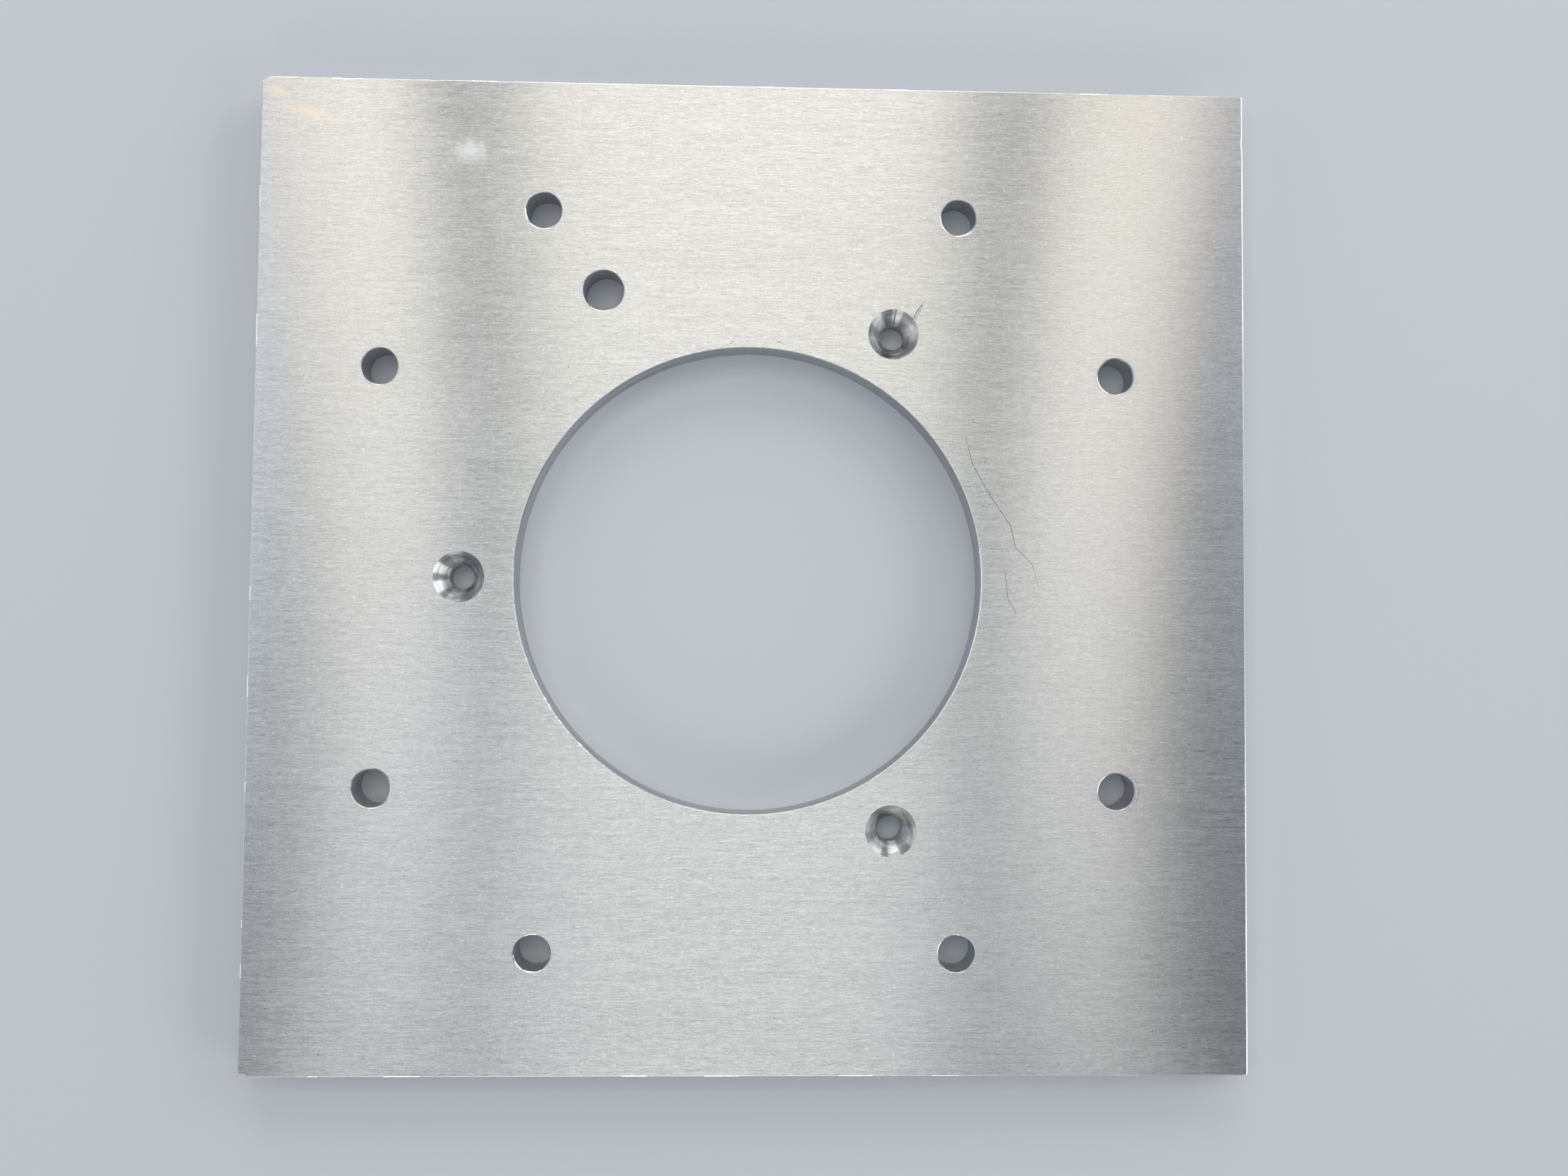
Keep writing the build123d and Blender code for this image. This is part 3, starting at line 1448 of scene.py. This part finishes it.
        # Painted highlight along the right side; elsewhere, outside the bright patches, painted shade in the
        # wall finish.
        rate = self.bright_patch_rate
        bright_patch = ripple(middle.x * rate, middle.y * rate, self.bright_patch_seed) > self.bright_patch_above
        return Finish.BRIGHT if bright_patch or middle.x > self.right - 2 * self.edge_break else Finish.WALL

    def below_break(self, edge: bmesh.types.BMEdge, front: float) -> bool:
        """Whether an edge lies at the foot of an edge break."""
        return all(min(vert.co.z, front - vert.co.z) >= 0.5 * self.edge_break for vert in edge.verts)

    def cut(self, front: float) -> PlateMesh:
        """Builds the sawn wall with its edge breaks.

        Args:
            front: Height of the front face.

        Returns:
            The wall, open at both faces.
        """
        plate = PlateMesh(front)
        bm = plate.bm
        ring = self.edge_ring(plate, self.sheet(plate))
        copied = bmesh.ops.duplicate(bm, geom=ring)["geom"]
        for item in copied:
            if isinstance(item, bmesh.types.BMVert):
                item.co.z = plate.front - item.co.z
        for face in bm.faces:
            face.material_index = self.break_finish(face.calc_center_median()).value
        outer = [edge for edge in bm.edges if edge.is_boundary and self.below_break(edge, plate.front)]
        bmesh.ops.bridge_loops(bm, edges=outer)
        upright = [
            edge for edge in bm.edges
            if abs(edge.verts[0].co.z - edge.verts[1].co.z) > plate.front / 2
        ]
        bmesh.ops.subdivide_edges(bm, edges=upright, cuts=self.saw_levels, use_grid_fill=True)
        low, high = self.edge_break + SLACK, plate.front - self.edge_break - SLACK
        for face in bm.faces:
            if low < face.calc_center_median().z < high:
                face.material_index = Finish.SAWN.value
        self.dress(plate)
        return plate

    def dress(self, plate: PlateMesh) -> None:
        """Lays the grain of the sawn wall upright, as the blade's teeth leave it.

        Args:
            plate: The outline's mesh.
        """
        wide, high = self.right - self.left, self.top - self.bottom
        middle_x, middle_y = (self.left + self.right) / 2, (self.bottom + self.top) / 2

        def upright(corner: Vector, middle: Vector) -> Point:
            """Place on the grain map of the sawn wall.

            Args:
                corner: A corner of a face.
                middle: The face's middle, which tells which side it belongs to.

            Returns:
                Place along that side, then the height.
            """
            over_x = abs(middle.x - middle_x) / wide
            over_y = abs(middle.y - middle_y) / high
            return (corner.y if over_x > over_y else corner.x + self.seam), corner.z

        plate.lay_grain(plate.bm.faces, upright)


@dataclass
class Furrow:
    """Groove scored into the front face, from its first point to its last."""

    points: tuple[Point, ...]
    width: float
    depth: float
    finish: Finish
    step: float = 0.6
    sway: float = 0.05
    sway_seeds: Point = (1.0, 9.0)
    least_taper: float = 0.12
    side_waver: Waver = Waver(0.35, 2.0)
    side_seed: float = 3.0

    def middle_line(self) -> list[Vector]:
        """Points along the groove, close together and a little unsteady.

        Returns:
            The points, from its first to its last.
        """
        line = []
        for start, end in zip(self.points, self.points[1:]):
            run = Vector(end) - Vector(start)
            count = max(1, round(run.length / self.step))
            line += [Vector(start) + run * share / count for share in range(count)]
        line.append(Vector(self.points[-1]))
        return [spot + Vector([ripple(*spot, seed) for seed in self.sway_seeds]) * self.sway for spot in line]

    def cut(self, front: float) -> PlateMesh:
        """Extrudes a cross-section of three points along the groove.

        Args:
            front: Height of the front face.

        Returns:
            The groove, open at the front face.
        """
        part = PlateMesh(front)
        bm = part.bm
        line = self.middle_line()
        last = len(line) - 1
        row, edges = [], []
        waver = self.side_waver
        for place, spot in enumerate(line):
            ahead = line[min(place + 1, last)] - line[max(place - 1, 0)]
            side = Vector((-ahead.y, ahead.x)).normalized()
            taper = max(self.least_taper, math.sqrt(math.sin(math.pi * (place + 0.5) / (last + 1))))
            uneven = 1.0 + waver.size * ripple(spot.x * waver.rate, spot.y * waver.rate, self.side_seed)
            half = self.width / 2 * taper * uneven
            ends = (spot + side * half, spot, spot - side * half)
            heights = (front, front - self.depth * taper, front)
            if place == 0:
                row = [bm.verts.new((*end, height)) for end, height in zip(ends, heights)]
                edges = [bm.edges.new(pair) for pair in zip(row, row[1:])]
                self.end_cap(bm, row)
                continue
            grown = bmesh.ops.extrude_edge_only(bm, edges=edges)["geom"]
            edges = [item for item in grown if isinstance(item, bmesh.types.BMEdge)]
            row = self.ordered(row, [item for item in grown if isinstance(item, bmesh.types.BMVert)])
            for vert, end, height in zip(row, ends, heights):
                vert.co = (*end, height)
        self.end_cap(bm, row)
        for face in bm.faces:
            face.material_index = self.finish.value
        part.lay_grain(bm.faces, along_grain)
        return part

    @staticmethod
    def ordered(before: list[bmesh.types.BMVert], new: list[bmesh.types.BMVert]) -> list[bmesh.types.BMVert]:
        """New row in the order of the row that it grew from.

        Args:
            before: The row that it grew from.
            new: The new row, in any order.

        Returns:
            The new row, in order.
        """
        return [
            next(edge.other_vert(vert) for edge in vert.link_edges if edge.other_vert(vert) in new)
            for vert in before
        ]

    @staticmethod
    def end_cap(bm: bmesh.types.BMesh, row: list[bmesh.types.BMVert]) -> None:
        """Closes an end of the groove with one steep face."""
        bm.faces.new(row)


@dataclass
class Pit:
    """Speck of lost or raised metal in the front face."""

    x: float
    y: float
    radius: float
    depth: float
    finish: Finish
    sides: int = 9
    floor_share: float = 0.25

    def cut(self, front: float) -> PlateMesh:
        """Makes a small cup with its floor below the face.

        Args:
            front: Height of the front face.

        Returns:
            The cup, open at the front face.
        """
        part = PlateMesh(front)
        middle = Matrix.Translation((self.x, self.y, front - self.depth / 2))
        bmesh.ops.create_cone(
            part.bm, cap_ends=True, segments=self.sides, radius1=self.radius * self.floor_share,
            radius2=self.radius, depth=self.depth, matrix=middle,
        )
        lid = max(part.bm.faces, key=lambda face: face.calc_center_median().z)
        bmesh.ops.delete(part.bm, geom=[lid], context="FACES_ONLY")
        for face in part.bm.faces:
            face.material_index = self.finish.value
        part.lay_grain(part.bm.faces, along_grain)
        return part


@dataclass
class RouterPlate:
    """The whole plate: sheet, opening, holes and the marks of its making."""

    low: Vector
    high: Vector
    lip: float = 0.03
    opening_diameter: float = 95.4
    screw_circle: float = 117.7
    screw_angles: tuple[float, float, float] = (60.0, 180.0, 300.0)
    screw_diameter: float = 5.1
    short_spacing: float = 85.6
    long_spacing: float = 151.2
    fixing_diameter: float = 7.35
    wide_diameter: float = 7.6
    pin_diameter: float = 8.3
    pin_reach: float = 66.5
    pin_angle: float = 117.2
    # In the order of the finishes' numbers.
    finishes: tuple[BrushedFinish | ToolFinish, ...] = (
        BrushedFinish(), BORED_WALL_SHADED, TURNED_CONE, SAWN_EDGE, BRIGHT_EDGE, DARK_MARK_FINISH, PALE_SCORE
    )

    def holes(self) -> list[RoundHole]:
        """Every hole of the plate.

        Returns:
            The opening, the plain holes, the pin's hole and the screw holes.
        """
        short, wide = self.short_spacing / 2, self.long_spacing / 2
        plain, screw = self.fixing_diameter, self.screw_diameter
        screws = [polar(self.screw_circle / 2, angle) for angle in self.screw_angles]
        return [
            Opening("opening", 0.0, 0.0, self.opening_diameter),
            RoundHole("top_left", -short, wide, plain, lean=0.07, lean_angle=225.0),
            RoundHole("top_right", short, wide, plain, lean=0.14, lean_angle=-40.0),
            RoundHole("upper_left", -wide, short, plain),
            RoundHole("upper_right", wide, short, plain, lean=0.04, lean_angle=30.0),
            RoundHole("lower_left", -wide, -short, self.wide_diameter, rim_break=0.28, painted_shade_arc=(0.0, 0.0)),
            RoundHole("lower_right", wide, -short, plain, exit_burrs=((-50.0, 38.0, 0.5),)),
            RoundHole(
                "bottom_left", -short, -wide, plain, lean=0.06, lean_angle=230.0,
                exit_burrs=((215.0, 30.0, 0.22), (320.0, 25.0, 0.16)),
            ),
            RoundHole(
                "bottom_right", short, -wide, plain, exit_burrs=((150.0, 50.0, 0.14), (20.0, 30.0, 0.16))
            ),
            RoundHole(
                "pin", *polar(self.pin_reach, self.pin_angle), self.pin_diameter, steps=144, ring_reach=0.9
            ),
            Countersink(
                "upper_screw", *screws[0], screw, steps=344, gouge=Gouge(), inner_tear=0.055,
                scars=((84.0, 1.6),), rim_nicks=((239.0, 3.0, 0.16),), exit_burrs=((85.0, 12.0, 0.15),),
            ),
            Countersink("left_screw", *screws[1], screw, chatter=0.022),
            Countersink("lower_screw", *screws[2], screw, steps=248, chatter=0.020),
        ]

    def furrows(self) -> list[Furrow]:
        """Scratches in the front face.

        Returns:
            The two dark ones, the light ones and the two burrs at the opening's top.
        """
        dark, light = Finish.DARK_MARK, Finish.SCORE
        return [
            Furrow(
                (
                    (43.9, 32.3), (45.8, 24.4), (49.4, 18.0), (53.8, 11.6),
                    (54.8, 7.2), (58.3, 3.6), (59.8, -1.6),
                ),
                0.14, 0.03, dark,
            ),
            Furrow(((52.6, 2.8), (53.3, -3.6), (54.8, -6.1), (54.6, -7.5)), 0.12, 0.025, dark),
            Furrow(((65.7, 96.65), (66.9, 93.5)), 0.24, 0.008, light),
            Furrow(((72.5, 89.2), (73.5, 89.45), (75.1, 91.3), (76.1, 92.0)), 0.17, 0.008, light),
            Furrow(((72.2, 92.7), (74.2, 94.5)), 0.12, 0.008, light),
            Furrow(((47.3, 17.85), (48.8, 18.25)), 0.13, 0.008, light),
            Furrow(((-4.45, 48.35), (-4.0, 48.6), (-3.4, 49.2)), 0.11, 0.03, dark, 0.2, 0.0),
            Furrow(((6.75, 48.35), (6.1, 48.9), (5.15, 49.3)), 0.11, 0.03, dark, 0.2, 0.0),
        ]

    def pits(self) -> list[Pit]:
        """Specks in the front face.

        Returns:
            The light ones, then the dark ones.
        """
        light = ((-91.3, -91.6, 0.22), (-77.0, -89.3, 0.13))
        dark = (
            (-25.2, 57.4), (39.3, 79.7), (41.2, 80.5), (-34.0, 66.7),
            (-37.2, 43.1), (-59.9, 96.1), (-84.8, -95.7), (48.0, 15.6),
        )
        specks = [Pit(x, y, radius, 0.03, Finish.BRIGHT) for x, y, radius in light]
        return specks + [Pit(x, y, 0.13, 0.05, Finish.DARK_MARK) for x, y in dark]

    def build(self) -> bpy.types.Object:
        """Models the plate and hands over the finished piece.

        Returns:
            The piece.
        """
        low, high = self.low / MM, self.high / MM
        plate = PlateMesh(high.z - self.lip)
        plate.absorb(Outline(low.x, high.x, low.y, high.y).cut(plate.front))
        log.info("outline: %d faces", len(plate.bm.faces))
        for hole in self.holes():
            plate.absorb(hole.cut(plate.front))
            log.info("%s: %d faces", hole.name, len(plate.bm.faces))
        for mark in [*self.furrows(), *self.pits()]:
            plate.absorb(mark.cut(plate.front))
        log.info("scratches and specks: %d faces", len(plate.bm.faces))
        plate.close(front=True)
        plate.close(front=False)
        log.info("front and back: %d faces", len(plate.bm.faces))
        materials = [finish.material() for finish in self.finishes]
        piece = plate.finish("router_plate_dressed", materials)
        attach(piece, "root")
        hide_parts("router_plate")
        return piece


@dataclass(frozen=True)
class Softbox:
    """Rectangular lamp, flat or aimed at the plate, whose glow is the brightness that a mirror would show."""

    name: str
    place: tuple[float, float, float]
    size: Point
    glow: Colour
    turn: float = 0.0
    aimed: bool = False

    def hang(self) -> None:
        """Adds the lamp, hidden from the camera."""
        lamp = bpy.data.lights.new(self.name, "AREA")
        lamp.shape = "RECTANGLE"
        lamp.size, lamp.size_y = self.size
        level = max(self.glow)
        lamp.energy = level * math.pi * self.size[0] * self.size[1]
        lamp.color = [part / level for part in self.glow]
        holder = bpy.data.objects.new(self.name, lamp)
        holder.location = self.place
        holder.rotation_euler = (0.0, 0.0, self.turn)
        if self.aimed:
            holder.rotation_euler = Vector(self.place).to_track_quat("Z", "Y").to_euler()
        holder.visible_camera = False
        bpy.context.scene.collection.objects.link(holder)
        log.info("lamp %s", self.name)


@dataclass(frozen=True)
class Strip:
    """Row of softboxes end to end along a line that leans a little from the Y axis, in metres."""

    name: str
    middle_x: float
    lean: float
    width: float
    ends: tuple[float, ...]
    glows: tuple[Colour, ...]

    def softboxes(self, height: float) -> list[Softbox]:
        """Divides the row into its softboxes.

        Args:
            height: Height that they hang at.

        Returns:
            The softboxes, from the near end to the far end.
        """
        boxes = []
        for number, (low, high, glow) in enumerate(zip(self.ends, self.ends[1:], self.glows)):
            middle = (low + high) / 2
            place = (self.middle_x + self.lean * middle, middle, height)
            turn = -math.atan(self.lean)
            boxes.append(Softbox(f"{self.name}_{number}", place, (self.width, high - low), glow, turn))
        return boxes


@dataclass
class Studio:
    """Plain pale floor, grey ceiling with soft strips under it, pale surroundings and the camera."""

    floor_colour: Colour = (0.66, 0.68, 0.71)
    floor_size: float = 40.0
    floor_gap: float = 0.02 * MM
    floor_clear: float = 5.0
    ceiling_colour: Colour = (0.075, 0.08, 0.09)
    ceiling_size: float = 4.6
    ceiling_height: float = 1.25
    surroundings: Colour = (0.95, 0.98, 1.0)
    surroundings_glow: float = 0.62
    strips_height: float = 1.2
    strips: tuple[Strip, ...] = (
        Strip(
            "middle_strip", -0.020, 0.006, 0.573, (-1.9, -0.45, 0.15, 0.8, 1.0),
            ((0.31, 0.27, 0.29), (0.74, 0.87, 0.92), (0.86, 0.79, 0.65), (3.1, 2.9, 2.65)),
        ),
        Strip(
            "left_strip", -0.452, -0.116, 0.200, (-0.45, 0.15, 0.8, 1.0),
            ((0.96, 1.01, 1.14), (1.02, 1.00, 0.78), (3.2, 3.0, 2.7)),
        ),
        Strip(
            "right_strip", 0.409, 0.120, 0.202, (-0.45, 0.2, 0.8, 1.0),
            ((1.00, 1.05, 1.12), (1.34, 1.25, 1.04), (3.2, 3.0, 2.7)),
        ),
        Strip("left_window", -0.87, 0.0, 0.46, (-0.18, 0.9, 2.2), ((1.45, 1.70, 2.00), (0.80, 0.62, 0.75))),
        Strip("right_window", 0.88, 0.0, 0.44, (0.1, 0.88, 2.0), ((0.98, 1.24, 1.60), (0.90, 0.84, 0.93))),
    )
    fills: tuple[Softbox, ...] = (
        Softbox("back_fill", (-0.1, 2.1, 0.8), (1.4, 0.9), (3.2, 3.2, 3.2), aimed=True),
        Softbox("front_fill", (-0.25, -2.0, 0.8), (1.2, 0.8), (2.0, 2.0, 2.0), aimed=True),
        Softbox("left_fill", (-2.0, 0.2, 0.7), (2.0, 0.9), (0.9, 0.9, 0.9), aimed=True),
        Softbox("far_fill", (1.65, 1.15, 0.7), (1.4, 0.9), (3.0, 3.0, 3.0), aimed=True),
        Softbox("near_fill", (1.8, -0.9, 0.7), (1.3, 0.9), (2.8, 2.8, 2.8), aimed=True),
    )
    camera_place: tuple[float, float, float] = (0.71 * MM, -10.30 * MM, 243.20 * MM)
    camera_turn: tuple[float, float, float] = (2.077, -1.589, 0.525)
    lens: float = 26.64
    sensor: float = 36.0
    clip: Point = (0.01, 100.0)

    def card(self, name: str, size: float, height: float, tree: ShaderTree) -> bpy.types.Object:
        """Adds a square level card that belongs to the studio.

        Args:
            name: The card's name.
            size: Its side.
            height: Height that it lies at.
            tree: Tree of its finished material.

        Returns:
            The card.
        """
        bm = bmesh.new()
        bmesh.ops.create_grid(bm, x_segments=1, y_segments=1, size=size / 2)
        bmesh.ops.translate(bm, vec=(0, 0, height), verts=bm.verts)
        mesh = bpy.data.meshes.new(name)
        bm.to_mesh(mesh)
        bm.free()
        mesh.materials.append(tree.material)
        made = bpy.data.objects.new(name, mesh)
        bpy.context.scene.collection.objects.link(made)
        log.info("%s", name)
        return made

    def lay_floor(self) -> None:
        """Adds the floor just under the plate, clear from below and where the plate's back looks at it.

        The plate's back is so close that the floor would otherwise mirror as black in a view from beneath.
        """
        tree = ShaderTree("pale_floor")
        paint = tree.node("ShaderNodeBsdfDiffuse", None, {"Color": (*self.floor_colour, 1.0)})["BSDF"]
        clear = tree.node("ShaderNodeBsdfTransparent")["BSDF"]
        below = tree.node("ShaderNodeNewGeometry")["Backfacing"]
        reach = tree.node("ShaderNodeLightPath")["Ray Length"]
        close = reach.maths("LESS_THAN", reach, self.floor_clear * self.floor_gap)
        hidden = below.maths("MAXIMUM", below, close)
        surface = tree.node("ShaderNodeMixShader", None, {0: hidden, 1: paint, 2: clear})["Shader"]
        tree.node("ShaderNodeOutputMaterial", None, {"Surface": surface})
        self.card("floor", self.floor_size, -self.floor_gap, tree)

    def hang_ceiling(self) -> None:
        """Adds the plain grey ceiling that the metal mirrors between the strips."""
        tree = ShaderTree("grey_ceiling")
        paint = tree.node("ShaderNodeBsdfDiffuse", None, {"Color": (*self.ceiling_colour, 1.0)})["BSDF"]
        tree.node("ShaderNodeOutputMaterial", None, {"Surface": paint})
        self.card("ceiling", self.ceiling_size, self.ceiling_height, tree).visible_camera = False

    def light(self) -> None:
        """Adds the even surroundings and the lamps."""
        world = bpy.data.worlds.new("surroundings")
        world.use_nodes = True
        background = world.node_tree.nodes["Background"]
        background.inputs["Color"].default_value = (*self.surroundings, 1.0)
        background.inputs["Strength"].default_value = self.surroundings_glow
        bpy.context.scene.world = world
        for strip in self.strips:
            for box in strip.softboxes(self.strips_height):
                box.hang()
        for fill in self.fills:
            fill.hang()

    def aim_camera(self) -> None:
        """Adds the camera where the photographer held it."""
        lens = bpy.data.cameras.new("camera")
        lens.lens = self.lens
        lens.sensor_width = self.sensor
        lens.clip_start, lens.clip_end = self.clip
        camera = bpy.data.objects.new("camera", lens)
        camera.location = self.camera_place
        turn = Vector([math.radians(angle) for angle in self.camera_turn])
        camera.rotation_mode = "QUATERNION"
        camera.rotation_quaternion = Matrix.Rotation(turn.length, 3, turn.normalized()).to_quaternion()
        bpy.context.scene.collection.objects.link(camera)
        bpy.context.scene.camera = camera
        log.info("camera")


def main() -> None:
    """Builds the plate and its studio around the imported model."""
    logging.basicConfig(level=logging.INFO, format="%(message)s")
    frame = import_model()
    log.info("frame holds %s", sorted(frame["nodes"]))
    view = bpy.context.scene.view_settings
    view.view_transform = "Standard"
    RouterPlate(*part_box("router_plate")).build()
    studio = Studio()
    studio.lay_floor()
    studio.hang_ceiling()
    studio.light()
    studio.aim_camera()


if __name__ == "__main__":
    main()
